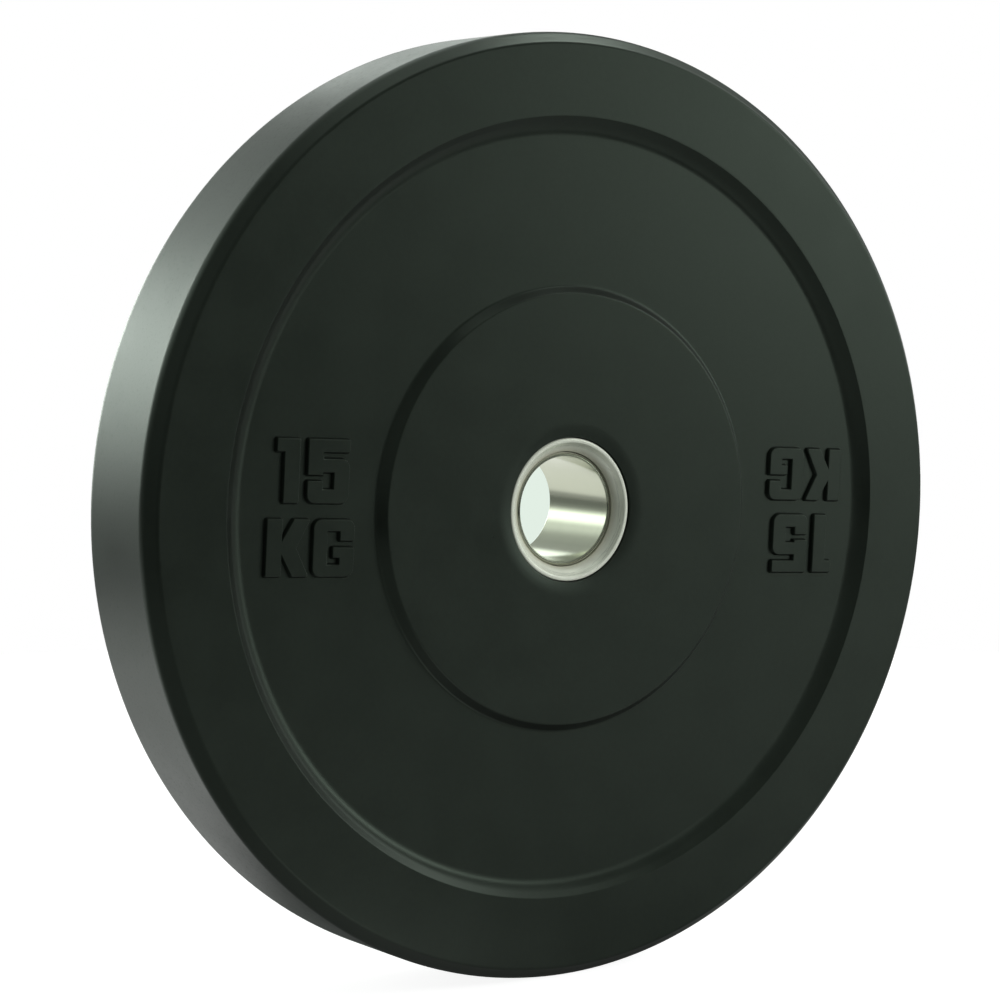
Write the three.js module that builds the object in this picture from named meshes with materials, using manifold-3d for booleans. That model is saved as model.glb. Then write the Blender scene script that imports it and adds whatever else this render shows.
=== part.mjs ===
// Bumper plate: a moulded rubber disc round a steel bore insert, with a raised hub and rim ring on both faces.
// The plate stands upright. Its bore runs along Y, its front face looks along -Y, and +Z is up.
// The origin is on the bore's axis, halfway through the thickness. All lengths are in millimetres.
import * as THREE from "three";
import { mergeVertices } from "three/addons/utils/BufferGeometryUtils.js";
import Module from "manifold-3d";

const wasm = await Module();
wasm.setup();

// Whole plate
const plateDiameter = 450;
const plateThickness = 61;
const rimBevelRun = 6;
const rimBevelDepth = 6.5;

// Web: the shallow ring-shaped recess between the rim ring and the hub, the same on both faces
const webRecessDepth = 4.6;
const rimRingInnerDiameter = 371;
const rimRingWallRun = 5.4;
const hubFaceDiameter = 205;
const hubWallRun = 3.4;
const webFilletRadius = 3;
const hubEdgeRadius = 0.9;

// Sleeve: the steel tube that slides on a 50 mm bar
const boreDiameter = 50.4;
const sleeveWall = 2;
const sleeveInnerBevelShare = 0.35;
const sleeveOuterBevelShare = 0.4;

// Flange rings: the flared steel collars round the sleeve's two ends
const flangeWidth = 6.7;
const flangeLipDepth = 1.2;
const flangeLipWidth = 1.3;
const flangeLipRoundShare = 0.4;
const flareDepth = 5.8;
const flareSeamStep = 0.4;
const flareHollow = 0.7;
const flangeLength = 9.5;
const flangeRootBevel = 1.2;

// Anchor disc: the drilled steel disc inside the rubber, which keeps the insert from turning or pulling out
const anchorDiameter = 124;
const anchorThickness = 6;
const anchorHolePlaceShare = 0.53;
const anchorHoleDiameter = 14;
const anchorHoleCount = 8;

// Fits
const bondGap = 0.3;
const insertDishRun = 2;
const cutOverrun = 2;

// Fineness
const plateSides = 96;
const steelSides = 48;
const holeSides = 16;
const filletSteps = 2;
const flareSteps = 3;

const plateRadius = plateDiameter / 2;
const halfThickness = plateThickness / 2;
const boreRadius = boreDiameter / 2;
const sleeveRadius = boreRadius + sleeveWall;
const sleeveEndDepth = flareDepth + flareSeamStep;
const sleeveInnerBevel = sleeveWall * sleeveInnerBevelShare;
const sleeveOuterBevel = sleeveWall * sleeveOuterBevelShare;
const seatRadius = sleeveRadius + bondGap;
const flangeRadius = seatRadius + flangeWidth;
const flangePocketRadius = flangeRadius + bondGap;
const flangeRootDepth = flangeLipDepth + flangeLength;
const flangeLipRound = flangeLipWidth * flangeLipRoundShare;
const insertDishDepth = flangeLipDepth + flangeLipRound;
const anchorRadius = anchorDiameter / 2;
const anchorHoleRadius = anchorHoleDiameter / 2;
const anchorHoleCircleRadius = seatRadius + (anchorRadius - seatRadius) * anchorHolePlaceShare;

const rubberMaterial = new THREE.MeshStandardMaterial({ color: 0x2b322d, roughness: 0.8, metalness: 0 });
const steelMaterial = new THREE.MeshStandardMaterial({ color: 0xc4c8bd, roughness: 0.28, metalness: 1 });
const anchorMaterial = new THREE.MeshStandardMaterial({ color: 0x6f6f6c, roughness: 0.6, metalness: 1 });

// Half outlines are lists of [radius, height], where height is measured from the mid-plane towards one face.
function arc(centre, radius, fromAngle, toAngle, steps) {
  const points = [];
  for (let step = 0; step <= steps; step += 1) {
    const angle = fromAngle + ((toAngle - fromAngle) * step) / steps;
    points.push([centre[0] + radius * Math.cos(angle), centre[1] + radius * Math.sin(angle)]);
  }
  return points;
}

// A half outline that runs from the mid-plane's inner side to its outer side, with its mirror image.
function withMirrorHalf(half) {
  const mirrored = half.map(([radius, height]) => [radius, -height]).reverse();
  return [...half, ...mirrored];
}

// One closed ring solid, turned about Y from its outline. The front face lies at negative Y.
function turned(outline, sides) {
  const profile = outline.map(([radius, height]) => new THREE.Vector2(radius, -height));
  profile.push(profile[0].clone());
  return weld(new THREE.LatheGeometry(profile, sides));
}

function weld(geometry) {
  geometry.deleteAttribute("normal");
  geometry.deleteAttribute("uv");
  return mergeVertices(geometry);
}

function toSolid(geometry) {
  const vertProperties = new Float32Array(geometry.attributes.position.array);
  const triVerts = new Uint32Array(geometry.index.array);
  return new wasm.Manifold(new wasm.Mesh({ numProp: 3, vertProperties, triVerts }));
}

function toGeometry(solid) {
  const mesh = solid.getMesh();
  const geometry = new THREE.BufferGeometry();
  geometry.setAttribute("position", new THREE.BufferAttribute(mesh.vertProperties, mesh.numProp));
  geometry.setIndex(new THREE.BufferAttribute(mesh.triVerts, 1));
  geometry.computeVertexNormals();
  return geometry;
}

// Pins on the anchor disc's hole circle, used to drill the disc and to fill its holes with rubber.
function anchorPins(radius, length) {
  return Array.from({ length: anchorHoleCount }, (_, index) => {
    const angle = (index * 2 * Math.PI) / anchorHoleCount;
    const pin = new THREE.CylinderGeometry(radius, radius, length, holeSides);
    pin.translate(anchorHoleCircleRadius * Math.cos(angle), 0, anchorHoleCircleRadius * Math.sin(angle));
    return toSolid(weld(pin));
  });
}

// The rounded corner where a sloped wall, falling by run over drop, meets the flat web. The sign tells which
// way the wall stands from the web: +1 when it rises outwards and -1 when it rises towards the bore.
function webCorner(wallFootRadius, webHeight, run, drop, sign) {
  const wallAngle = Math.atan2(drop, run);
  const setBack = webFilletRadius * Math.tan(wallAngle / 2);
  const centre = [wallFootRadius - sign * setBack, webHeight + webFilletRadius];
  const down = -Math.PI / 2;
  const corner = arc(centre, webFilletRadius, down, down + sign * wallAngle, filletSteps);
  return sign > 0 ? corner : corner.reverse();
}

// The hub's upper edge, rounded between its flat face and its sloped wall.
function hubEdge(faceRadius, faceHeight, run, drop) {
  const wallAngle = Math.atan2(drop, run);
  const setBack = hubEdgeRadius * Math.tan(wallAngle / 2);
  const centre = [faceRadius - setBack, faceHeight - hubEdgeRadius];
  return arc(centre, hubEdgeRadius, Math.PI / 2, Math.PI / 2 - wallAngle, filletSteps);
}

function rubberBody() {
  const webHeight = halfThickness - webRecessDepth;
  const hubFaceRadius = hubFaceDiameter / 2;
  const rimRingInnerRadius = rimRingInnerDiameter / 2;
  const cavityHalf = anchorThickness / 2 + bondGap;
  const pocketHeight = halfThickness - flangeRootDepth - bondGap;
  const half = [
    [anchorRadius + bondGap, cavityHalf],
    [seatRadius, cavityHalf],
    [seatRadius, pocketHeight],
    [flangePocketRadius, pocketHeight],
    [flangePocketRadius, halfThickness - insertDishDepth],
    [flangePocketRadius + insertDishRun, halfThickness],
    ...hubEdge(hubFaceRadius, halfThickness, hubWallRun, webRecessDepth),
    ...webCorner(hubFaceRadius + hubWallRun, webHeight, hubWallRun, webRecessDepth, -1),
    ...webCorner(rimRingInnerRadius - rimRingWallRun, webHeight, rimRingWallRun, webRecessDepth, 1),
    [rimRingInnerRadius, halfThickness],
    [plateRadius - rimBevelRun, halfThickness],
    [plateRadius, halfThickness - rimBevelDepth],
  ];
  const disc = toSolid(turned(withMirrorHalf(half), plateSides));
  const plugLength = anchorThickness + 2 * bondGap + 2 * cutOverrun;
  const plugs = anchorPins(anchorHoleRadius - bondGap, plugLength);
  return toGeometry(plugs.reduce((body, plug) => body.add(plug), disc));
}

function boreSleeve() {
  const endHeight = halfThickness - sleeveEndDepth;
  const half = [
    [boreRadius, endHeight - sleeveInnerBevel],
    [boreRadius + sleeveInnerBevel, endHeight],
    [sleeveRadius - sleeveOuterBevel, endHeight],
    [sleeveRadius, endHeight - sleeveOuterBevel],
  ];
  return turned(withMirrorHalf(half), steelSides);
}

// The flare is a shallow hollow curve from the seam at the sleeve up to the lip.
function flareCurve() {
  const start = [seatRadius, halfThickness - flareDepth];
  const end = [flangeRadius - flangeLipWidth, halfThickness - flangeLipDepth];
  return Array.from({ length: flareSteps + 1 }, (_, step) => {
    const along = step / flareSteps;
    const sag = flareHollow * Math.sin(Math.PI * along);
    const radius = start[0] + (end[0] - start[0]) * along;
    return [radius, start[1] + (end[1] - start[1]) * along - sag];
  });
}

function flangeRing() {
  const lipHeight = halfThickness - flangeLipDepth;
  const rootHeight = halfThickness - flangeRootDepth;
  return turned([
    ...flareCurve(),
    [flangeRadius - flangeLipRound, lipHeight],
    [flangeRadius, lipHeight - flangeLipRound],
    [flangeRadius, rootHeight + flangeRootBevel],
    [flangeRadius - flangeRootBevel, rootHeight],
    [seatRadius, rootHeight],
  ], steelSides);
}

function anchorDisc() {
  const half = [
    [seatRadius, anchorThickness / 2],
    [anchorRadius, anchorThickness / 2],
  ];
  const disc = toSolid(turned(withMirrorHalf(half), steelSides));
  const drills = anchorPins(anchorHoleRadius, anchorThickness + 2 * cutOverrun);
  return toGeometry(drills.reduce((body, drill) => body.subtract(drill), disc));
}

function piece(name, geometry, material) {
  const mesh = new THREE.Mesh(geometry, material);
  mesh.name = name;
  return mesh;
}

const plate = new THREE.Group();
plate.add(piece("rubber_body", rubberBody(), rubberMaterial));

const insert = new THREE.Group();
insert.add(piece("bore_sleeve", boreSleeve(), steelMaterial));
insert.add(piece("anchor_disc", anchorDisc(), anchorMaterial));
insert.add(piece("flange_ring_front", flangeRing(), steelMaterial));
const backFlange = piece("flange_ring_back", flangeRing(), steelMaterial);
backFlange.rotation.x = Math.PI;
insert.add(backFlange);
plate.add(insert);

export default plate;
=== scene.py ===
"""Bumper plate: a moulded rubber weight plate round a flared steel bore insert.

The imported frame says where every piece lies. The classes here take their sizes from it, make the fine
surfaces and dress them. The bore runs along Y, the front face looks along -Y and +Z is up. Lengths are in
metres.
"""

import logging
import math
from collections.abc import Sequence
from dataclasses import dataclass
from enum import Enum
from typing import Any

import bmesh
import bpy
from mathutils import Matrix, Vector


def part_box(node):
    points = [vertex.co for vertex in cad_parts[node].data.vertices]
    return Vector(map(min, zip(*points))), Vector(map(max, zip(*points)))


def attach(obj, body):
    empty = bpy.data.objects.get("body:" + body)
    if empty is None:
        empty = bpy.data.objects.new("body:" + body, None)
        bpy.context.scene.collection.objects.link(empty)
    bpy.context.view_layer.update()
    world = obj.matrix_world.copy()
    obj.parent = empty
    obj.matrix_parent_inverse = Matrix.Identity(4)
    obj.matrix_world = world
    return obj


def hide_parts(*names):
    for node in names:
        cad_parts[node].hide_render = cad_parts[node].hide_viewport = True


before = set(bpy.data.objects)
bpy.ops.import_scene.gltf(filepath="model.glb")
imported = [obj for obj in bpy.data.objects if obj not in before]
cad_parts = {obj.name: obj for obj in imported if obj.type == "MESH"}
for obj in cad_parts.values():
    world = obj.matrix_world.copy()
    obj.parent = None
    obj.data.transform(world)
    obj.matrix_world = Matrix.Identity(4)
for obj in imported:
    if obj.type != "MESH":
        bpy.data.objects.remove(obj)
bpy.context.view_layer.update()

log = logging.getLogger("bumper_plate")

Point = tuple[float, float]
Colour = tuple[float, float, float]
Span = tuple[float, float]

MM = 0.001
BODY = "root"

# Sizes that more than one piece needs. The bond gap keeps bonded pieces from cutting into each other
WEB_DEPTH = 4.6 * MM
LIP_DEPTH = 1.2 * MM
FLANGE_LENGTH = 9.5 * MM
BOND_GAP = 0.3 * MM


# Node trees

class Sheet:
    """A node tree that is filled through one method."""

    def __init__(self, tree: bpy.types.NodeTree) -> None:
        """Empties the tree."""
        self.tree = tree
        tree.nodes.clear()

    def node(
        self,
        kind: str,
        settings: dict[str, Any] | None = None,
        sockets: dict[str | int, Any] | None = None,
    ) -> bpy.types.Node:
        """Adds a node to the tree.

        Args:
            kind: Blender's name for the kind of node.
            settings: Its own properties, which are set first.
            sockets: A value or a link for each input, by name or number.

        Returns:
            The new node.
        """
        made = self.tree.nodes.new(kind)
        for name, value in (settings or {}).items():
            setattr(made, name, value)
        for key, value in (sockets or {}).items():
            self.plug(made.inputs[key], value)
        return made

    def plug(self, target: bpy.types.NodeSocket, value: Any) -> None:
        """Fills an input.

        Args:
            target: The input.
            value: A socket or a wire to link, or a plain value to set.
        """
        if isinstance(value, Wire):
            self.tree.links.new(value.socket, target)
        elif isinstance(value, bpy.types.NodeSocket):
            self.tree.links.new(value, target)
        elif isinstance(value, tuple) and target.type == "RGBA":
            target.default_value = (*value, 1.0)
        else:
            target.default_value = value

    def blend(self, factor: "Wire | float", low: Any, high: Any) -> bpy.types.NodeSocket:
        """Mixes two colours.

        Args:
            factor: 0 for the first colour and 1 for the second.
            low: The first colour.
            high: The second colour.

        Returns:
            The mixed colour.
        """
        # The Mix node repeats its sockets for each kind of data, and these are the colour ones
        made = self.node("ShaderNodeMix", {"data_type": "RGBA"}, {0: factor, 6: low, 7: high})
        return made.outputs[2]

    def eye(self) -> "Wire":
        """Tells the camera's view apart from the light that falls on a surface.

        Returns:
            1 for what the camera sees, straight or through glass, and 0 for other rays.
        """
        path = self.node("ShaderNodeLightPath").outputs
        straight = Wire(self, path["Is Camera Ray"])
        return straight.math("MAXIMUM", straight, path["Is Transmission Ray"])


class Wire:
    """A number that flows between shader nodes, with Python's operators."""

    def __init__(self, sheet: Sheet, socket: bpy.types.NodeSocket) -> None:
        """Wraps an output socket."""
        self.sheet = sheet
        self.socket = socket

    def math(self, operation: str, *terms: "Wire | float") -> "Wire":
        """Runs one Math node.

        Args:
            operation: The node's operation.
            terms: Its inputs, in order.

        Returns:
            The node's result.
        """
        made = self.sheet.node("ShaderNodeMath", {"operation": operation}, dict(enumerate(terms)))
        return Wire(self.sheet, made.outputs[0])

    def __add__(self, other: "Wire | float") -> "Wire":
        """Adds on the right."""
        return self.math("ADD", self, other)

    def __radd__(self, other: float) -> "Wire":
        """Adds on the left."""
        return self.math("ADD", other, self)

    def __sub__(self, other: "Wire | float") -> "Wire":
        """Takes another value away."""
        return self.math("SUBTRACT", self, other)

    def __rsub__(self, other: float) -> "Wire":
        """Is taken away from a number."""
        return self.math("SUBTRACT", other, self)

    def __mul__(self, other: "Wire | float") -> "Wire":
        """Multiplies on the right."""
        return self.math("MULTIPLY", self, other)

    def __rmul__(self, other: float) -> "Wire":
        """Multiplies on the left."""
        return self.math("MULTIPLY", other, self)

    def __pow__(self, other: "Wire | float") -> "Wire":
        """Is raised to a power."""
        return self.math("POWER", self, other)

    def __rpow__(self, other: float) -> "Wire":
        """Is the power that a number is raised to."""
        return self.math("POWER", other, self)

    def __abs__(self) -> "Wire":
        """Drops the sign."""
        return self.math("ABSOLUTE", self)

    def rise(self, start: float, end: float) -> "Wire":
        """Climbs smoothly from 0 at start to 1 at end.

        Args:
            start: The value below which the result is 0.
            end: The value above which the result is 1.

        Returns:
            A mask between 0 and 1.
        """
        settings = {"interpolation_type": "SMOOTHSTEP"}
        low, high = min(start, end), max(start, end)
        sockets = {"Value": self, "From Min": low, "From Max": high}
        climb = Wire(self.sheet, self.sheet.node("ShaderNodeMapRange", settings, sockets).outputs[0])
        return climb if end >= start else 1.0 - climb

    def bell(self, centre: float, half_width: float) -> "Wire":
        """Gives 1 at the centre and 0 past half a width from it."""
        return abs(self - centre).rise(half_width, 0.0)


class Paint(Sheet):
    """A material's node tree, with the coordinates and mixes that the finishes share."""

    def __init__(self, name: str) -> None:
        """Makes an empty node material.

        Args:
            name: The material's name.
        """
        self.material = bpy.data.materials.new(name)
        self.material.use_nodes = True
        super().__init__(self.material.node_tree)
        self.place = self.node("ShaderNodeTexCoord").outputs["Object"]
        parts = self.node("ShaderNodeSeparateXYZ", None, {0: self.place}).outputs
        self.across, self.along, self.up = (Wire(self, part) for part in parts)
        self.radius = (self.across * self.across + self.up * self.up) ** 0.5

    def noise(self, size: float, detail: float, place: bpy.types.NodeSocket | None = None) -> Wire:
        """Samples smooth noise.

        Args:
            size: The size of one patch, in the units of the place.
            detail: How many finer layers are added.
            place: Where to sample, or None for the object's own coordinates.

        Returns:
            Values round one half.
        """
        sockets = {"Vector": place or self.place, "Scale": 1.0 / size, "Detail": detail}
        return Wire(self, self.node("ShaderNodeTexNoise", None, sockets).outputs["Fac"])

    def vector(self, x: Wire | float, y: Wire | float, z: Wire | float) -> bpy.types.NodeSocket:
        """Joins three numbers into a vector."""
        return self.node("ShaderNodeCombineXYZ", None, {0: x, 1: y, 2: z}).outputs[0]

    def finish(self, sockets: dict[str, Any], relief: Wire, depth: float) -> bpy.types.Material:
        """Ends the tree in the surface shader.

        Args:
            sockets: The shader's inputs, by name.
            relief: The height of the fine relief, from 0 to 1.
            depth: How deep that relief is.

        Returns:
            The finished material.
        """
        bump = self.node("ShaderNodeBump", None, {"Strength": 1.0, "Distance": depth, "Height": relief})
        shader = self.node("ShaderNodeBsdfPrincipled", None, {**sockets, "Normal": bump.outputs[0]})
        self.node("ShaderNodeOutputMaterial", None, {"Surface": shader.outputs[0]})
        return self.material


# Finishes

@dataclass(frozen=True)
class MouldedRubber:
    """Matt moulded rubber, nearly black with a green cast, a fine grain and faint clouds from the mould.

    The tread, the outside of the rim, is a little rougher and has faint pale scuffs.
    """

    deep: Colour = (0.0055, 0.0069, 0.0056)
    pale: Colour = (0.0083, 0.0105, 0.0084)
    specular_level: float = 0.575
    specular_tint: Colour = (0.82, 1.0, 0.83)
    roughness: float = 0.31
    cloud_roughness: float = 0.10
    mottle_roughness: float = 0.05
    tread_roughness: float = 0.37
    tread_radius: float = 219.5 * MM
    tread_edge: float = 1.5 * MM
    cloud_size: float = 26 * MM
    mottle_size: float = 2.4 * MM
    tone_range: Span = (0.32, 0.68)
    grain_size: float = 0.7 * MM
    grain_depth: float = 0.025 * MM
    grain_share: float = 0.6
    scuff_length: float = 30 * MM
    scuff_width: float = 1.1 * MM
    scuff_range: Span = (0.56, 0.72)
    scuff_tone: float = 0.22
    scuff_roughness: float = 0.08

    def material(self, name: str) -> bpy.types.Material:
        """Builds the material.

        Args:
            name: The material's name.

        Returns:
            The finished material.
        """
        paint = Paint(name)
        clouds = paint.noise(self.cloud_size, detail=3.0)
        mottle = paint.noise(self.mottle_size, detail=2.0)
        grain = paint.noise(self.grain_size, detail=1.0)
        tread = paint.radius.rise(self.tread_radius, self.tread_radius + self.tread_edge)
        stretch = self.scuff_length / self.scuff_width
        streak_place = paint.vector(paint.across, paint.along * stretch, paint.up * stretch)
        streaks = paint.noise(self.scuff_length, detail=3.0, place=streak_place)
        scuffs = tread * streaks.rise(*self.scuff_range)
        tone = (clouds * 0.5 + mottle * 0.5).rise(*self.tone_range)
        colour = paint.blend(tone, self.deep, self.pale)
        spread = (clouds - 0.5) * self.cloud_roughness + (mottle - 0.5) * self.mottle_roughness
        matt = self.roughness + spread - tread * (self.roughness - self.tread_roughness)
        sockets = {
            "Base Color": paint.blend(scuffs * self.scuff_tone, colour, self.pale),
            "Roughness": matt + scuffs * self.scuff_roughness,
            "Specular IOR Level": self.specular_level,
            "Specular Tint": self.specular_tint,
        }
        relief = grain * self.grain_share + mottle * (1.0 - self.grain_share)
        return paint.finish(sockets, relief, self.grain_depth)


@dataclass(frozen=True)
class TurnedSteel:
    """Satin stainless steel with the fine rings that a lathe leaves.

    The bore is polished and the flare outside it is semi-matt and pale, partly from its finish and partly
    painted light.
    The seam between them holds dirt, and painted shade fades out from it across the flare.
    """

    bright: Colour = (0.54, 0.56, 0.45)
    dull: Colour = (0.47, 0.495, 0.39)
    # Pale flare colour: partly the satin finish, partly painted light for the light that the flare catches
    satin_and_painted_light: Colour = (0.92, 0.955, 0.83)
    # Dirt in the seam, and painted shade where the mask fades out across the flare
    dirt_and_shade: Colour = (0.30, 0.29, 0.20)
    bore_roughness: float = 0.17
    flare_roughness: float = 0.28
    flare_metallic: float = 0.28
    ring_share: float = 0.6
    ring_roughness: float = 0.10
    ring_size: float = 0.22 * MM
    ring_drift: float = 9 * MM
    ring_depth: float = 0.004 * MM
    smudge_size: float = 9 * MM
    seam_inner_radius: float = 26.2 * MM
    seam_outer_radius: float = 30.4 * MM
    seam_softness: float = 0.9 * MM
    # How far out across the flare the painted shade fades
    seam_shade_fade: float = 2.9 * MM
    # How much of the flare takes the pale colour of satin and painted light
    satin_and_light_cover: float = 0.9
    dirt_and_shade_cover: float = 0.7
    dirt_and_shade_metallic: float = 0.25
    dirt_and_shade_roughness: float = 0.2

    def material(self, name: str) -> bpy.types.Material:
        """Builds the material.

        Args:
            name: The material's name.

        Returns:
            The finished material.
        """
        paint = Paint(name)
        drift = self.ring_size / self.ring_drift
        ring_place = paint.vector(paint.radius, paint.along, paint.across * drift + paint.up * drift)
        rings = paint.noise(self.ring_size, detail=2.0, place=ring_place)
        smudges = paint.noise(self.smudge_size, detail=3.0)
        flare = paint.radius.rise(self.seam_inner_radius, self.seam_inner_radius + self.seam_softness)
        # The seam mask: dirt in the joint, and painted shade that fades out over the flare
        seam = flare * paint.radius.rise(self.seam_outer_radius, self.seam_outer_radius - self.seam_shade_fade)
        shine = rings * self.ring_share + smudges * (1.0 - self.ring_share)
        metal = paint.blend(shine, self.dull, self.bright)
        # The flare is painted paler than the bore: partly its satin finish, partly painted light
        turned = paint.blend(flare * self.satin_and_light_cover, metal, self.satin_and_painted_light)
        matt = self.bore_roughness + flare * (self.flare_roughness - self.bore_roughness)
        sockets = {
            # Dirt and painted shade in the seam darken the colour and take away some metal and gloss
            "Base Color": paint.blend(seam * self.dirt_and_shade_cover, turned, self.dirt_and_shade),
            "Metallic": 1.0 - flare * (1.0 - self.flare_metallic) - seam * self.dirt_and_shade_metallic,
            "Roughness": matt + (rings - 0.5) * self.ring_roughness + seam * self.dirt_and_shade_roughness,
        }
        return paint.finish(sockets, rings, self.ring_depth)


@dataclass(frozen=True)
class PrimedSteel:
    """Flat grey primer on mild steel, with a blotchy coat and rust where it is thin."""

    primer: Colour = (0.17, 0.17, 0.16)
    thin: Colour = (0.11, 0.085, 0.07)
    roughness: float = 0.7
    roughness_spread: float = 0.2
    thin_range: Span = (0.55, 0.75)
    bare_range: Span = (0.7, 0.9)
    bare_metallic: float = 0.4
    blotch_size: float = 12 * MM
    grain_size: float = 0.9 * MM
    grain_depth: float = 0.03 * MM

    def material(self, name: str) -> bpy.types.Material:
        """Builds the material.

        Args:
            name: The material's name.

        Returns:
            The finished material.
        """
        paint = Paint(name)
        blotches = paint.noise(self.blotch_size, detail=4.0)
        grain = paint.noise(self.grain_size, detail=2.0)
        sockets = {
            "Base Color": paint.blend(blotches.rise(*self.thin_range), self.primer, self.thin),
            "Metallic": blotches.rise(*self.bare_range) * self.bare_metallic,
            "Roughness": self.roughness + (grain - 0.5) * self.roughness_spread,
        }
        return paint.finish(sockets, grain, self.grain_depth)


# Outlines

@dataclass(frozen=True)
class Corner:
    """A corner of a closed outline, and the radius that rounds it."""

    x: float
    y: float
    rounding: float = 0.0


def rounded(corners: Sequence[Corner], step_degrees: float = 9.0, hold: float = 0.0) -> list[Point]:
    """Rounds the corners of a closed outline.

    Args:
        corners: The corners in order.
        step_degrees: The largest turn between two points of an arc.
        hold: How far past each arc an extra point keeps the straight run flat, or 0 for none.

    Returns:
        The outline's points in the same order.
    """
    points: list[Point] = []
    for index, corner in enumerate(corners):
        before, after = corners[index - 1], corners[(index + 1) % len(corners)]
        here = Vector((corner.x, corner.y))
        back = Vector((before.x, before.y)) - here
        ahead = Vector((after.x, after.y)) - here
        turn = math.pi - back.angle(ahead)
        if corner.rounding <= 0.0:
            points.append((here.x, here.y))
            continue
        reach = corner.rounding * math.tan(turn / 2)
        start = here + back.normalized() * reach
        end = here + ahead.normalized() * reach
        middle = (back.normalized() + ahead.normalized()).normalized()
        centre = here + middle * math.hypot(reach, corner.rounding)
        first, last = start - centre, end - centre
        steps = max(2, math.ceil(math.degrees(turn) / step_degrees))
        if hold > 0.0 and back.length > reach + 2 * hold:
            points.append(tuple(start + back.normalized() * hold))
        for step in range(steps + 1):
            share = step / steps
            bend = (first * math.sin((1 - share) * turn) + last * math.sin(share * turn)) / math.sin(turn)
            points.append(tuple(centre + bend))
        if hold > 0.0 and ahead.length > reach + 2 * hold:
            points.append(tuple(end + ahead.normalized() * hold))
    return points


def with_mirror_half(half: Sequence[Corner]) -> list[Corner]:
    """Adds the other face's half to a section whose height is measured from the mid-plane."""
    return [*half, *(Corner(corner.x, -corner.y, corner.rounding) for corner in reversed(half))]


def widened(points: Sequence[Point], distance: float) -> list[Point]:
    """Moves a closed anticlockwise outline outwards.

    Args:
        points: The outline's points.
        distance: How far each side moves, negative for inwards.

    Returns:
        As many points, each on its moved corner.
    """
    moved: list[Point] = []
    for index, point in enumerate(points):
        here = Vector(point)
        into = (here - Vector(points[index - 1])).normalized()
        out = (Vector(points[(index + 1) % len(points)]) - here).normalized()
        first, second = Vector((into.y, -into.x)), Vector((out.y, -out.x))
        moved.append(tuple(here + (first + second) * (distance / (1.0 + first.dot(second)))))
    return moved


# Geometry trees

class Grower(Sheet):
    """A Geometry Nodes tree with named inputs, which ends in real geometry with one material."""

    def __init__(self, name: str, inputs: dict[str, str]) -> None:
        """Makes the tree's sockets.

        Args:
            name: The tree's name.
            inputs: The socket type of each named input.
        """
        super().__init__(bpy.data.node_groups.new(name, "GeometryNodeTree"))
        outside = self.tree.interface
        outside.new_socket("Geometry", in_out="INPUT", socket_type="NodeSocketGeometry")
        outside.new_socket("Geometry", in_out="OUTPUT", socket_type="NodeSocketGeometry")
        self.identifiers: dict[str, str] = {}
        for label, kind in inputs.items():
            self.identifiers[label] = outside.new_socket(label, in_out="INPUT", socket_type=kind).identifier
        self.given = self.node("NodeGroupInput").outputs

    def end(self, geometry: bpy.types.NodeSocket) -> None:
        """Makes the geometry real, gives it the material and hands it out.

        Args:
            geometry: What the tree has built.
        """
        real = self.node("GeometryNodeRealizeInstances", None, {0: geometry})
        smooth = self.node("GeometryNodeSetShadeSmooth", None, {"Geometry": real.outputs[0]})
        sockets = {"Geometry": smooth.outputs[0], "Material": self.given["Material"]}
        dressed = self.node("GeometryNodeSetMaterial", None, sockets)
        self.node("NodeGroupOutput", None, {0: dressed.outputs[0]})

    def grow(self, piece: bpy.types.Object, values: dict[str, Any]) -> bpy.types.Object:
        """Runs the tree on a piece and keeps the result as its plain mesh.

        Args:
            piece: The object whose mesh the tree starts from.
            values: A value for each named input.

        Returns:
            The same piece, without a modifier.
        """
        modifier = piece.modifiers.new(self.tree.name, "NODES")
        modifier.node_group = self.tree
        for label, value in values.items():
            modifier[self.identifiers[label]] = value
        graph = bpy.context.evaluated_depsgraph_get()
        grown = bpy.data.meshes.new_from_object(piece.evaluated_get(graph))
        piece.modifiers.clear()
        piece.data = grown
        close_up(grown)
        return piece


def new_piece(name: str, mesh: bpy.types.Mesh) -> bpy.types.Object:
    """Puts a mesh in the scene.

    Args:
        name: The object's name.
        mesh: Its mesh.

    Returns:
        The object, at the origin.
    """
    piece = bpy.data.objects.new(name, mesh)
    bpy.context.scene.collection.objects.link(piece)
    return piece


def close_up(mesh: bpy.types.Mesh, weld: float = 0.001 * MM) -> None:
    """Welds a mesh's seams and turns its faces outwards.

    Args:
        mesh: The mesh.
        weld: How close two points are made one.
    """
    work = bmesh.new()
    work.from_mesh(mesh)
    bmesh.ops.remove_doubles(work, verts=work.verts, dist=weld)
    bmesh.ops.recalc_face_normals(work, faces=work.faces)
    work.to_mesh(mesh)
    work.free()


def turning_tree() -> Grower:
    """Builds the tree that turns a closed outline round the bore's axis.

    Returns:
        The tree, whose outline has its radius along X, less the inner radius, and its height along Y.
    """
    inputs = {"Inner Radius": "NodeSocketFloat", "Sides": "NodeSocketInt", "Material": "NodeSocketMaterial"}
    tree = Grower("turned_section", inputs)
    outline = tree.node("GeometryNodeMeshToCurve", None, {"Mesh": tree.given["Geometry"]})
    sockets = {"Resolution": tree.given["Sides"], "Radius": tree.given["Inner Radius"]}
    path = tree.node("GeometryNodeCurvePrimitiveCircle", {"mode": "RADIUS"}, sockets)
    sockets = {"Curve": path.outputs[0], "Profile Curve": outline.outputs[0]}
    swept = tree.node("GeometryNodeCurveToMesh", None, sockets)
    sockets = {"Geometry": swept.outputs[0], "Rotation": (math.pi / 2, 0.0, 0.0)}
    upright = tree.node("GeometryNodeTransform", None, sockets)
    tree.end(upright.outputs[0])
    return tree


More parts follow.
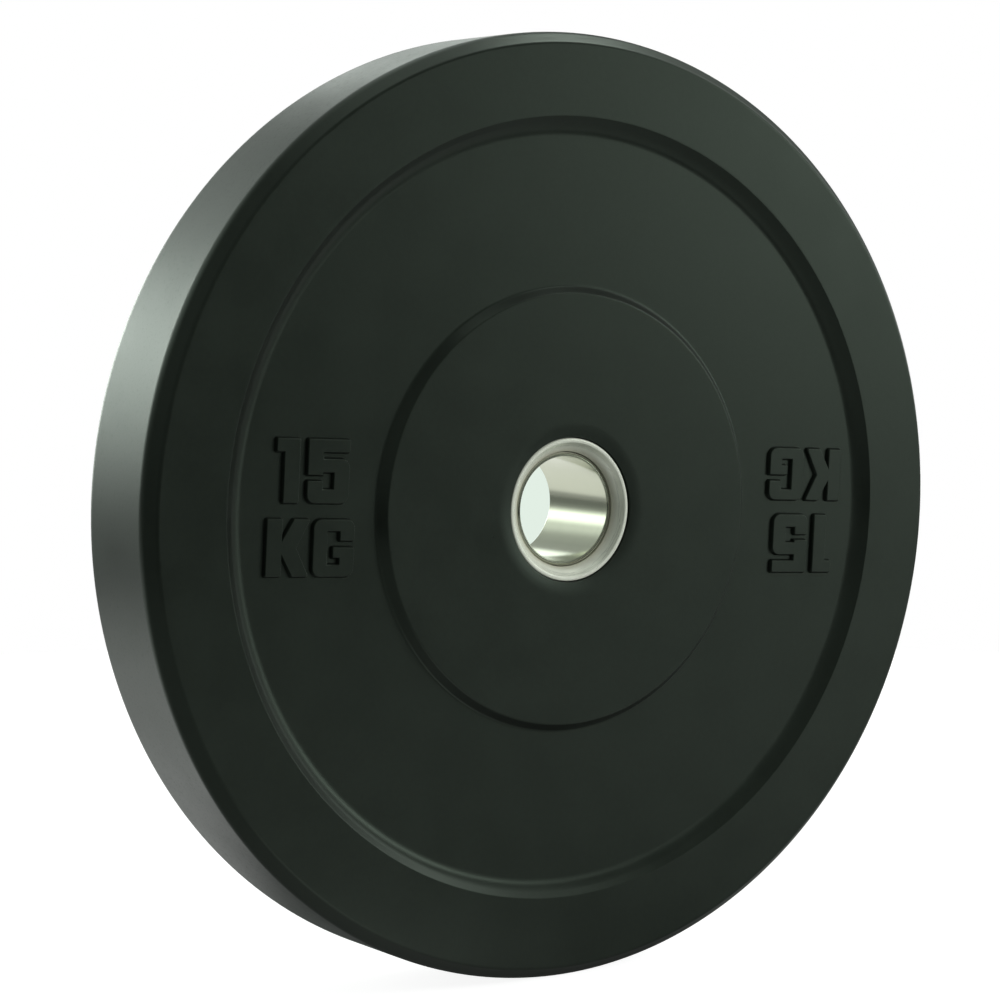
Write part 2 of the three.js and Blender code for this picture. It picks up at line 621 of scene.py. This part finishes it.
def ring_tree() -> Grower:
    """Builds the tree that sets copies of a mesh in a ring round the bore's axis.

    Returns:
        The tree, whose mesh lies at the origin.
    """
    inputs = {"Count": "NodeSocketInt", "Ring Radius": "NodeSocketFloat", "Material": "NodeSocketMaterial"}
    tree = Grower("ring_of_copies", inputs)
    sockets = {"Vertices": tree.given["Count"], "Radius": tree.given["Ring Radius"]}
    ring = tree.node("GeometryNodeMeshCircle", None, sockets)
    sockets = {"Geometry": ring.outputs[0], "Rotation": (math.pi / 2, 0.0, 0.0)}
    upright = tree.node("GeometryNodeTransform", None, sockets)
    sockets = {"Points": upright.outputs[0], "Instance": tree.given["Geometry"]}
    copies = tree.node("GeometryNodeInstanceOnPoints", None, sockets)
    tree.end(copies.outputs[0])
    return tree


def face_marks_tree() -> Grower:
    """Builds the tree that repeats a mark half a turn round the bore, on both faces.

    Returns:
        The tree, whose mark lies where it belongs on the front face.
    """
    inputs = {"Marks a Face": "NodeSocketInt", "Aside": "NodeSocketFloat", "Material": "NodeSocketMaterial"}
    tree = Grower("marks_on_both_faces", inputs)
    count = tree.node("ShaderNodeMath", {"operation": "MULTIPLY"}, {0: tree.given["Marks a Face"], 1: 2.0})
    centre = tree.node("ShaderNodeCombineXYZ", None, {"X": tree.given["Aside"]})
    sockets = {"Count": count.outputs[0], "Position": centre.outputs[0]}
    points = tree.node("GeometryNodePoints", None, sockets)
    index = tree.node("GeometryNodeInputIndex").outputs[0]
    share = tree.node("ShaderNodeMath", {"operation": "DIVIDE"}, {0: index, 1: tree.given["Marks a Face"]})
    turn = tree.node("ShaderNodeMath", {"operation": "MULTIPLY"}, {0: share.outputs[0], 1: 2.0 * math.pi})
    side = tree.node("ShaderNodeMath", {"operation": "FLOOR"}, {0: share.outputs[0]})
    flip = tree.node("ShaderNodeMath", {"operation": "MULTIPLY"}, {0: side.outputs[0], 1: math.pi})
    way = tree.node("ShaderNodeCombineXYZ", None, {"Y": turn.outputs[0], "Z": flip.outputs[0]})
    sockets = {"Points": points.outputs[0], "Instance": tree.given["Geometry"], "Rotation": way.outputs[0]}
    copies = tree.node("GeometryNodeInstanceOnPoints", None, sockets)
    tree.end(copies.outputs[0])
    return tree


# Pieces

class Face(Enum):
    """The two faces of the plate, each with the side of the mid-plane that it lies on along Y."""

    FRONT = -1.0
    BACK = 1.0


def half_size(node: str, axis: int) -> float:
    """Gives half of a CAD node's size along one axis."""
    low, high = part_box(node)
    return (high[axis] - low[axis]) / 2


@dataclass
class Lathe:
    """Turns sections round the bore's axis, with one tree for all of them."""

    tree: Grower

    def turn(
        self, name: str, section: Sequence[Corner], sides: int, material: bpy.types.Material, hold: float
    ) -> bpy.types.Object:
        """Makes one closed ring.

        Args:
            name: The piece's name.
            section: The corners of its section, as radius and height above the mid-plane towards the front.
            sides: How many steps the turn has.
            material: Its finish.
            hold: How far past each rounded corner the flat run starts.

        Returns:
            The turned piece.
        """
        inner = min(corner.x for corner in section)
        points = rounded(section, hold=hold)
        mesh = bpy.data.meshes.new(name)
        edges = [(index, (index + 1) % len(points)) for index in range(len(points))]
        mesh.from_pydata([(radius - inner, height, 0.0) for radius, height in points], edges, [])
        values = {"Inner Radius": inner, "Sides": sides, "Material": material}
        return self.tree.grow(new_piece(name, mesh), values)


@dataclass
class RubberBody:
    """The rubber disc, with its rim ring, web and hub on both faces, moulded round the steel insert."""

    lathe: Lathe
    finish: MouldedRubber
    rim_bevel_run: float = 5.4 * MM
    rim_bevel_depth: float = 5.9 * MM
    rim_ring_inner_radius: float = 185.5 * MM
    rim_ring_wall_run: float = 5.4 * MM
    hub_face_radius: float = 102.5 * MM
    hub_wall_run: float = 3.4 * MM
    hub_wall_fillet: float = 1.5 * MM
    ring_wall_fillet: float = 9 * MM
    hub_edge_rounding: float = 0.9 * MM
    ring_edge_rounding: float = 0.5 * MM
    bevel_edge_rounding: float = 2 * MM
    tread_edge_rounding: float = 5 * MM
    dish_depth: float = 0.45 * MM
    dish_run: float = 4.6 * MM
    dish_rounding: float = 45 * MM
    pocket_rounding: float = 0.3 * MM
    plug_count: int = 8
    plug_radius: float = 6.7 * MM
    plug_place_share: float = 0.53
    plug_overrun: float = 2 * MM
    plug_sides: int = 24
    sides: int = 256
    hold: float = 0.5 * MM

    def section(self) -> list[Corner]:
        """Lays out the body's section.

        Returns:
            Its corners, from the cavity round the anchor disc out to the rim and back.
        """
        top = half_size("rubber_body", 1)
        outer = half_size("rubber_body", 0)
        anchor = half_size("anchor_disc", 0) + BOND_GAP
        cavity = half_size("anchor_disc", 1) + BOND_GAP
        seat = half_size("bore_sleeve", 0) + BOND_GAP
        pocket = half_size("flange_ring_front", 0) + BOND_GAP
        shelf = top - LIP_DEPTH - FLANGE_LENGTH - BOND_GAP
        web = top - WEB_DEPTH
        half = [
            Corner(anchor, cavity),
            Corner(seat, cavity),
            Corner(seat, shelf),
            Corner(pocket, shelf),
            Corner(pocket, top - self.dish_depth, self.pocket_rounding),
            Corner(pocket + self.dish_run, top, self.dish_rounding),
            Corner(self.hub_face_radius, top, self.hub_edge_rounding),
            Corner(self.hub_face_radius + self.hub_wall_run, web, self.hub_wall_fillet),
            Corner(self.rim_ring_inner_radius - self.rim_ring_wall_run, web, self.ring_wall_fillet),
            Corner(self.rim_ring_inner_radius, top, self.ring_edge_rounding),
            Corner(outer - self.rim_bevel_run, top, self.bevel_edge_rounding),
            Corner(outer, top - self.rim_bevel_depth, self.tread_edge_rounding),
        ]
        return with_mirror_half(half)

    def plugs(self, material: bpy.types.Material) -> bpy.types.Object:
        """Makes the rubber that fills the anchor disc's holes.

        Args:
            material: The rubber's finish.

        Returns:
            The ring of plugs, each reaching a little into the rubber on both sides.
        """
        seat = half_size("bore_sleeve", 0) + BOND_GAP
        ring = seat + (half_size("anchor_disc", 0) - seat) * self.plug_place_share
        length = 2 * (half_size("anchor_disc", 1) + BOND_GAP + self.plug_overrun)
        work = bmesh.new()
        sizes = {"radius1": self.plug_radius, "radius2": self.plug_radius, "depth": length}
        upright = Matrix.Rotation(math.pi / 2, 4, "X")
        bmesh.ops.create_cone(work, cap_ends=True, segments=self.plug_sides, matrix=upright, **sizes)
        mesh = bpy.data.meshes.new("anchor_plugs")
        work.to_mesh(mesh)
        work.free()
        values = {"Count": self.plug_count, "Ring Radius": ring, "Material": material}
        return ring_tree().grow(new_piece("anchor_plugs", mesh), values)

    def build(self) -> bpy.types.Object:
        """Makes the whole rubber body, dressed.

        Returns:
            The piece that stands for the CAD body.
        """
        material = self.finish.material("moulded_rubber")
        body = self.lathe.turn("rubber_disc", self.section(), self.sides, material, self.hold)
        plugs = self.plugs(material)
        work = bmesh.new()
        work.from_mesh(body.data)
        work.from_mesh(plugs.data)
        work.to_mesh(body.data)
        work.free()
        bpy.data.objects.remove(plugs)
        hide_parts("rubber_body")
        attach(body, BODY)
        return body


@dataclass
class BoreInsert:
    """The steel sleeve and its two flared flange rings, and the anchor disc hidden in the rubber."""

    lathe: Lathe
    steel: TurnedSteel
    primer: PrimedSteel
    sleeve_wall: float = 2 * MM
    sleeve_nose: float = 0.45 * MM
    sleeve_land: float = 0.7 * MM
    sleeve_groove_depth: float = 0.6 * MM
    lip_width: float = 2.1 * MM
    lip_rounding: float = 0.95 * MM
    flare_depth: float = 5.8 * MM
    flare_hollow: float = 0.7 * MM
    flare_steps: int = 12
    flare_edge: float = 0.25 * MM
    root_bevel: float = 1.2 * MM
    sides: int = 192
    hold: float = 0.15 * MM

    def sleeve_section(self) -> list[Corner]:
        """Lays out the sleeve's section.

        Returns:
            Its corners. Both ends fall away outwards into the seam.
        """
        outer = half_size("bore_sleeve", 0)
        end = half_size("bore_sleeve", 1)
        bore = outer - self.sleeve_wall
        half = [
            Corner(bore, end, self.sleeve_nose),
            Corner(bore + self.sleeve_land, end, self.sleeve_nose / 2),
            Corner(outer, end - self.sleeve_groove_depth),
        ]
        return with_mirror_half(half)

    def flange_section(self, side: Face) -> list[Corner]:
        """Lays out a flange ring's section.

        Args:
            side: The face that the ring lies in.

        Returns:
            The hollow flare, the rounded lip and the root.
        """
        top = half_size("rubber_body", 1)
        outer = half_size("flange_ring_front", 0)
        seat = half_size("bore_sleeve", 0) + BOND_GAP
        lip = top - LIP_DEPTH
        root = lip - FLANGE_LENGTH
        foot = Vector((seat, top - self.flare_depth))
        crest = Vector((outer - self.lip_width, lip))
        flare = []
        for step in range(1, self.flare_steps):
            share = step / self.flare_steps
            point = foot.lerp(crest, share)
            flare.append(Corner(point.x, point.y - self.flare_hollow * math.sin(math.pi * share)))
        section = [
            Corner(foot.x, foot.y, self.flare_edge),
            *flare,
            Corner(crest.x, crest.y, self.lip_rounding),
            Corner(outer, lip, self.lip_rounding),
            Corner(outer, root + self.root_bevel),
            Corner(outer - self.root_bevel, root),
            Corner(seat, root),
        ]
        return [Corner(corner.x, -side.value * corner.y, corner.rounding) for corner in section]

    def build(self) -> list[bpy.types.Object]:
        """Makes and dresses the steel pieces.

        Returns:
            The sleeve, the two flange rings and the anchor disc.
        """
        material = self.steel.material("turned_steel")
        turned = {
            "sleeve": ("bore_sleeve", self.sleeve_section()),
            "front_flange": ("flange_ring_front", self.flange_section(Face.FRONT)),
            "back_flange": ("flange_ring_back", self.flange_section(Face.BACK)),
        }
        pieces = []
        for name, (node, section) in turned.items():
            piece = self.lathe.turn(name, section, self.sides, material, self.hold)
            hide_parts(node)
            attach(piece, BODY)
            pieces.append(piece)
        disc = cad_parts["anchor_disc"]
        disc.data.materials.clear()
        disc.data.materials.append(self.primer.material("primed_steel"))
        pieces.append(disc)
        return pieces


@dataclass(frozen=True)
class Glyph:
    """One block character: its place in the mark and its outline, anticlockwise from the lower left."""

    left: float
    bottom: float
    corners: tuple[Corner, ...]


@dataclass
class WeightMark:
    """The raised weight mark: a number over its unit, twice on each face."""

    finish: MouldedRubber
    stroke: float = 8 * MM
    number_height: float = 28.9 * MM
    unit_height: float = 25.8 * MM
    number_bottom: float = 1.2 * MM
    unit_top: float = -6.1 * MM
    left_edge: float = -161.8 * MM
    five_inset: float = 16.2 * MM
    kay_inset: float = -3.6 * MM
    gee_inset: float = 20.6 * MM
    aside: float = 1.9 * MM
    spin_degrees: float = 3.2
    emboss: float = 1.9 * MM
    draft: float = 0.7 * MM
    edge: float = 0.3 * MM
    sunk: float = 0.4 * MM
    hold: float = 0.1 * MM
    bend: float = 4 * MM
    nick: float = 0.6 * MM
    flag_height: float = 5.9 * MM
    arm_spread: float = 3 * MM
    arc_step_degrees: float = 15.0
    crease_degrees: float = 40.0
    marks_a_face: int = 2
    edge_steps: int = 3

    def one(self) -> Glyph:
        """Draws the figure one.

        Returns:
            A stem with a flag.
        """
        flag, top = self.stroke / 2, self.number_height
        right = flag + self.stroke
        shoulder = top - self.flag_height
        corners = (
            Corner(flag, 0.0, self.nick),
            Corner(right, 0.0, self.nick),
            Corner(right, top, self.nick),
            Corner(0.0, top, self.nick),
            Corner(0.0, shoulder, self.nick),
            Corner(flag, shoulder),
        )
        return Glyph(self.left_edge, self.number_bottom, corners)

    def five(self) -> Glyph:
        """Draws the figure five.

        Returns:
            Straight bars with three bent corners.
        """
        width, top = 21.8 * MM, self.number_height
        inner_left, inner_right = self.stroke, width - self.stroke
        floor, lower_gap, upper_gap = 6.3 * MM, 10.0 * MM, 12.7 * MM
        sill, waist, ledge = 14.0 * MM, 20.1 * MM, 23.1 * MM
        corners = (
            Corner(0.0, 0.0, self.bend),
            Corner(width, 0.0, self.bend),
            Corner(width, waist, self.bend),
            Corner(inner_left, waist),
            Corner(inner_left, ledge),
            Corner(width, ledge, self.nick),
            Corner(width, top, self.nick),
            Corner(0.0, top, self.nick),
            Corner(0.0, upper_gap, self.nick),
            Corner(inner_left, upper_gap),
            Corner(inner_left, sill),
            Corner(inner_right, sill),
            Corner(inner_right, floor),
            Corner(inner_left, floor),
            Corner(inner_left, lower_gap, self.nick),
            Corner(0.0, lower_gap, self.nick),
        )
        return Glyph(self.left_edge + self.five_inset, self.number_bottom, corners)

    def kay(self) -> Glyph:
        """Draws the letter K.

        Returns:
            A stem with two leaning arms.
        """
        top = self.unit_height
        middle = top / 2
        arm_foot, arm_tip, notch = 13.8 * MM, 22.3 * MM, 15.4 * MM
        corners = (
            Corner(0.0, 0.0, self.nick),
            Corner(self.stroke, 0.0, self.nick),
            Corner(self.stroke, middle - self.arm_spread),
            Corner(arm_foot, 0.0, self.nick),
            Corner(arm_tip, 0.0, self.nick),
            Corner(notch, middle),
            Corner(arm_tip, top, self.nick),
            Corner(arm_foot, top, self.nick),
            Corner(self.stroke, middle + self.arm_spread),
            Corner(self.stroke, top, self.nick),
            Corner(0.0, top, self.nick),
        )
        return Glyph(self.left_edge + self.kay_inset, self.unit_top - top, corners)

    def gee(self) -> Glyph:
        """Draws the letter G.

        Returns:
            Straight bars with four bent corners.
        """
        width, top = 21.5 * MM, self.unit_height
        inner_left, inner_right = 7.4 * MM, 13.9 * MM
        floor, sill, bar_top = 5.4 * MM, 8.6 * MM, 13.3 * MM
        bar_left, lip_bottom, ceiling = 10.3 * MM, 16.3 * MM, 20.6 * MM
        corners = (
            Corner(0.0, 0.0, self.bend),
            Corner(width, 0.0, self.bend),
            Corner(width, bar_top, self.nick),
            Corner(bar_left, bar_top, self.nick),
            Corner(bar_left, sill, self.nick),
            Corner(inner_right, sill),
            Corner(inner_right, floor),
            Corner(inner_left, floor),
            Corner(inner_left, ceiling),
            Corner(inner_right, ceiling),
            Corner(inner_right, lip_bottom, self.nick),
            Corner(width, lip_bottom, self.nick),
            Corner(width, top, self.bend),
            Corner(0.0, top, self.bend),
        )
        return Glyph(self.left_edge + self.gee_inset, self.unit_top - top, corners)

    def wall_steps(self) -> list[Point]:
        """Lists the wall's steps.

        Returns:
            How far each step lies outside the top's edge, and its height above the web.
        """
        lean = math.atan2(self.draft, self.emboss)
        steps = [(self.draft, -self.sunk), (self.draft, 0.0)]
        for step in range(self.edge_steps + 1):
            angle = lean + (math.pi / 2 - lean) * step / self.edge_steps
            height = self.emboss + self.edge * (math.sin(angle) - 1.0)
            steps.append((self.edge * (math.cos(angle) - 1.0), height))
        steps.append((-self.edge - self.hold, self.emboss))
        return steps

    def raise_glyph(self, work: bmesh.types.BMesh, glyph: Glyph) -> None:
        """Adds one closed raised character on the front web.

        Args:
            work: The mesh that takes it.
            glyph: The character.
        """
        outline = rounded(glyph.corners, self.arc_step_degrees)
        web = -(half_size("rubber_body", 1) - WEB_DEPTH)
        rings = []
        for distance, height in self.wall_steps():
            moved = widened(outline, distance)
            places = [(glyph.left + x, web - height, glyph.bottom + z) for x, z in moved]
            rings.append([work.verts.new(place) for place in places])
        for lower, upper in zip(rings, rings[1:]):
            for index in range(len(outline)):
                after = (index + 1) % len(outline)
                work.faces.new((lower[index], lower[after], upper[after], upper[index]))
        work.faces.new(rings[-1])
        work.faces.new(list(reversed(rings[0])))

    def build(self) -> bpy.types.Object:
        """Makes all the marks as one dressed piece.

        Returns:
            The piece with the marks of both faces.
        """
        work = bmesh.new()
        for glyph in (self.one(), self.five(), self.kay(), self.gee()):
            self.raise_glyph(work, glyph)
        work.normal_update()
        caps = [face for face in work.faces if len(face.verts) > 4]
        for face in caps:
            face.smooth = False
        bmesh.ops.triangulate(work, faces=caps)
        spin = Matrix.Rotation(math.radians(self.spin_degrees), 4, "Y")
        bmesh.ops.transform(work, matrix=spin, verts=work.verts)
        mesh = bpy.data.meshes.new("weight_marks")
        work.to_mesh(mesh)
        work.free()
        material = self.finish.material("moulded_rubber_marks")
        values = {"Marks a Face": self.marks_a_face, "Aside": self.aside, "Material": material}
        piece = face_marks_tree().grow(new_piece("weight_marks", mesh), values)
        piece.data.set_sharp_from_angle(angle=math.radians(self.crease_degrees))
        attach(piece, BODY)
        return piece


# Studio

@dataclass(frozen=True)
class Glow:
    """A soft-edged patch of light on the walls of the room, placed by its direction in degrees.

    The azimuth is measured from the way that the front face looks, towards the right.
    """

    azimuth: float
    elevation: float
    half_width: float
    half_height: float
    softness: float
    strength: float


class Room(Sheet):
    """The light that comes from all round, by direction, with a white backdrop for the eye.

    The backdrop is a little darker in one small spot, which the camera sees only through the bore.
    """

    white: Colour = (1.0, 1.0, 1.0)
    shade: Colour = (0.76, 0.86, 0.775)
    tint: Colour = (0.93, 1.0, 0.95)
    shade_spot: Glow = Glow(146.0, -4.5, 2.2, 2.2, 1.2, 1.0)

    def __init__(self) -> None:
        """Takes over the scene's world and reads the direction that a ray looks in."""
        world = bpy.data.worlds.new("studio_room")
        bpy.context.scene.world = world
        world.use_nodes = True
        super().__init__(world.node_tree)
        way = self.node("ShaderNodeTexCoord").outputs["Generated"]
        parts = self.node("ShaderNodeSeparateXYZ", None, {0: way}).outputs
        self.across, self.along, self.up = (Wire(self, part) for part in parts)
        self.elevation = self.up.math("ARCSINE", self.up) * math.degrees(1.0)

    def light(self, glow: Glow) -> Wire:
        """Gives the light of one patch.

        Args:
            glow: The patch.

        Returns:
            Its strength in the direction of the ray.
        """
        turn = math.radians(glow.azimuth)
        ahead = self.across * math.sin(turn) - self.along * math.cos(turn)
        aside = self.across * math.cos(turn) + self.along * math.sin(turn)
        azimuth = abs(aside.math("ARCTAN2", aside, ahead) * math.degrees(1.0))
        height = abs(self.elevation - glow.elevation)
        wide = azimuth.rise(glow.half_width + glow.softness, glow.half_width - glow.softness)
        tall = height.rise(glow.half_height + glow.softness, glow.half_height - glow.softness)
        return wide * tall * glow.strength

    def finish(self, glows: Sequence[Glow]) -> None:
        """Adds up the patches and ends the tree.

        Args:
            glows: The patches of light.
        """
        total = self.light(glows[0])
        for glow in glows[1:]:
            total = total + self.light(glow)
        eye = self.eye()
        backcloth = self.blend(self.light(self.shade_spot), self.white, self.shade)
        colour = self.blend(eye, self.tint, backcloth)
        sockets = {"Color": colour, "Strength": eye + (1.0 - eye) * total}
        backdrop = self.node("ShaderNodeBackground", None, sockets)
        self.node("ShaderNodeOutputWorld", None, {"Surface": backdrop.outputs[0]})


@dataclass(frozen=True)
class Lamp:
    """A soft rectangular lamp that looks at the plate's centre and leaves no highlight."""

    name: str
    place: tuple[float, float, float]
    width: float
    height: float
    watts: float

    def build(self) -> None:
        """Hangs the lamp in the scene."""
        lamp = bpy.data.lights.new(self.name, "AREA")
        lamp.shape = "RECTANGLE"
        lamp.size = self.width
        lamp.size_y = self.height
        lamp.energy = self.watts
        holder = bpy.data.objects.new(self.name, lamp)
        bpy.context.scene.collection.objects.link(holder)
        holder.visible_camera = False
        holder.visible_glossy = False
        aim = -Vector(self.place)
        holder.location = self.place
        holder.rotation_euler = aim.to_track_quat("-Z", "Y").to_euler()


@dataclass
class Studio:
    """The camera, the floor, the lamp and the room."""

    lens: float = 108.0
    sensor: float = 36.0
    camera_place: tuple[float, float, float] = (-0.817685, -1.189257, 0.116187)
    azimuth_degrees: float = -33.834
    elevation_degrees: float = 4.497
    floor_radius: float = 1.25
    floor_sides: int = 96
    floor_colour: Colour = (0.30, 0.30, 0.30)
    floor_white: float = 0.9
    # Where each part of the floor's glow sets in and is full, or for the patch its centre and half width
    floor_behind: Span = (0.07, 0.17)
    floor_rear: Span = (0.22, 0.32)
    floor_far: Span = (0.62, 0.72)
    floor_left: Span = (0.0, -0.12)
    floor_patch_across: Span = (-0.09, 0.18)
    floor_patch_along: Span = (-0.13, 0.14)
    floor_patch_glow: float = 0.45
    floor_left_glow: float = 0.88
    floor_rear_glow: float = 0.86
    floor_far_glow: float = 0.20
    glows: tuple[Glow, ...] = (
        Glow(188.0, 13.6, 6.2, 4.2, 4.0, 16.0),
        Glow(188.0, 4.0, 10.0, 5.6, 2.2, 4.7),
        Glow(165.0, 4.0, 14.0, 5.6, 2.2, 1.93),
        Glow(170.0, 13.5, 14.0, 7.0, 5.0, 1.89),
        Glow(210.0, 13.5, 20.0, 6.0, 4.0, 2.40),
        Glow(212.0, 7.2, 18.0, 4.8, 1.2, 0.60),
        Glow(208.0, -4.6, 16.0, 6.2, 1.0, 0.23),
        Glow(205.0, 25.0, 30.0, 5.0, 4.0, 0.78),
        Glow(200.0, 42.0, 45.0, 16.0, 8.0, 0.32),
        Glow(152.0, 24.0, 10.0, 8.0, 4.0, 1.80),
        Glow(150.0, 62.0, 20.0, 12.0, 5.0, 1.46),
        Glow(250.0, 35.0, 25.0, 12.0, 5.0, 0.89),
        Glow(44.0, 2.0, 4.0, 4.0, 3.0, 2.70),
        Glow(46.0, 8.0, 5.0, 5.0, 3.0, 3.45),
        Glow(50.0, 4.0, 12.0, 10.0, 4.0, 0.25),
        Glow(55.0, 9.0, 5.0, 5.0, 3.0, 1.16),
        Glow(72.0, 6.0, 12.0, 10.0, 4.0, 0.21),
        Glow(95.0, 6.0, 14.0, 10.0, 5.0, 0.75),
        Glow(131.0, -5.0, 9.0, 5.0, 3.0, 2.80),
        Glow(146.0, 0.0, 14.0, 14.0, 5.0, 1.16),
        Glow(60.0, 34.0, 16.0, 12.0, 6.0, 0.28),
        Glow(88.0, 30.0, 14.0, 12.0, 6.0, 1.52),
        Glow(75.0, 60.0, 20.0, 9.0, 5.0, 1.30),
        Glow(99.0, 55.0, 11.0, 8.0, 3.5, 5.40),
        Glow(0.0, 84.0, 181.0, 6.0, 5.0, 0.90),
        Glow(0.0, 45.0, 181.0, 45.0, 5.0, 0.20),
        Glow(90.0, -30.0, 60.0, 25.0, 5.0, 0.11),
    )
    front_fill: Lamp = Lamp("front_fill", (1.9, -1.6, 0.8), 1.0, 1.0, 45.0)

    def camera(self) -> None:
        """Sets the camera where the photograph was taken from."""
        lens = bpy.data.cameras.new("camera")
        lens.lens = self.lens
        lens.sensor_width = self.sensor
        holder = bpy.data.objects.new("camera", lens)
        bpy.context.scene.collection.objects.link(holder)
        azimuth, elevation = math.radians(self.azimuth_degrees), math.radians(self.elevation_degrees)
        flat = math.cos(elevation)
        back = Vector((math.sin(azimuth) * flat, -math.cos(azimuth) * flat, math.sin(elevation)))
        holder.location = self.camera_place
        holder.rotation_euler = (-back).to_track_quat("-Z", "Y").to_euler()
        bpy.context.scene.camera = holder

    def floor(self) -> None:
        """Lays the pale floor, which is white to the eye and keeps the plate's shadow.

        Other rays see a glow that is strongest behind the plate and to its left.
        """
        work = bmesh.new()
        down = Matrix.Translation((0.0, 0.0, -half_size("rubber_body", 2)))
        bmesh.ops.create_circle(
            work, cap_ends=True, radius=self.floor_radius, segments=self.floor_sides, matrix=down
        )
        mesh = bpy.data.meshes.new("floor")
        work.to_mesh(mesh)
        work.free()
        floor = new_piece("floor", mesh)
        paint = Paint("pale_floor")
        eye = paint.eye()
        rear, far = paint.along.rise(*self.floor_rear), paint.along.rise(*self.floor_far)
        left = (paint.along.rise(*self.floor_behind) - rear) * paint.across.rise(*self.floor_left)
        patch = paint.across.bell(*self.floor_patch_across) * paint.along.bell(*self.floor_patch_along)
        near_part = patch * self.floor_patch_glow + left * self.floor_left_glow
        glow = near_part + (rear - far) * self.floor_rear_glow + far * self.floor_far_glow
        strength = eye * self.floor_white + (1.0 - eye) * glow
        matt = paint.node("ShaderNodeBsdfDiffuse", None, {"Color": self.floor_colour})
        lit = paint.node("ShaderNodeEmission", None, {"Strength": strength})
        both = paint.node("ShaderNodeAddShader", None, {0: matt.outputs[0], 1: lit.outputs[0]})
        paint.node("ShaderNodeOutputMaterial", None, {"Surface": both.outputs[0]})
        mesh.materials.append(paint.material)

    def build(self) -> None:
        """Sets up the whole studio."""
        self.camera()
        self.floor()
        Room().finish(self.glows)
        self.front_fill.build()
        bpy.context.scene.view_settings.view_transform = "Standard"


def main() -> None:
    """Builds and dresses the plate in order, and reports each piece."""
    logging.basicConfig(level=logging.INFO, format="%(name)s: %(message)s")
    lathe = Lathe(turning_tree())
    rubber = MouldedRubber()
    pieces = [RubberBody(lathe, rubber).build()]
    pieces += BoreInsert(lathe, TurnedSteel(), PrimedSteel()).build()
    pieces.append(WeightMark(rubber).build())
    for piece in pieces:
        log.info("%s: %d faces", piece.name, len(piece.data.polygons))
    Studio().build()


if __name__ == "__main__":
    main()
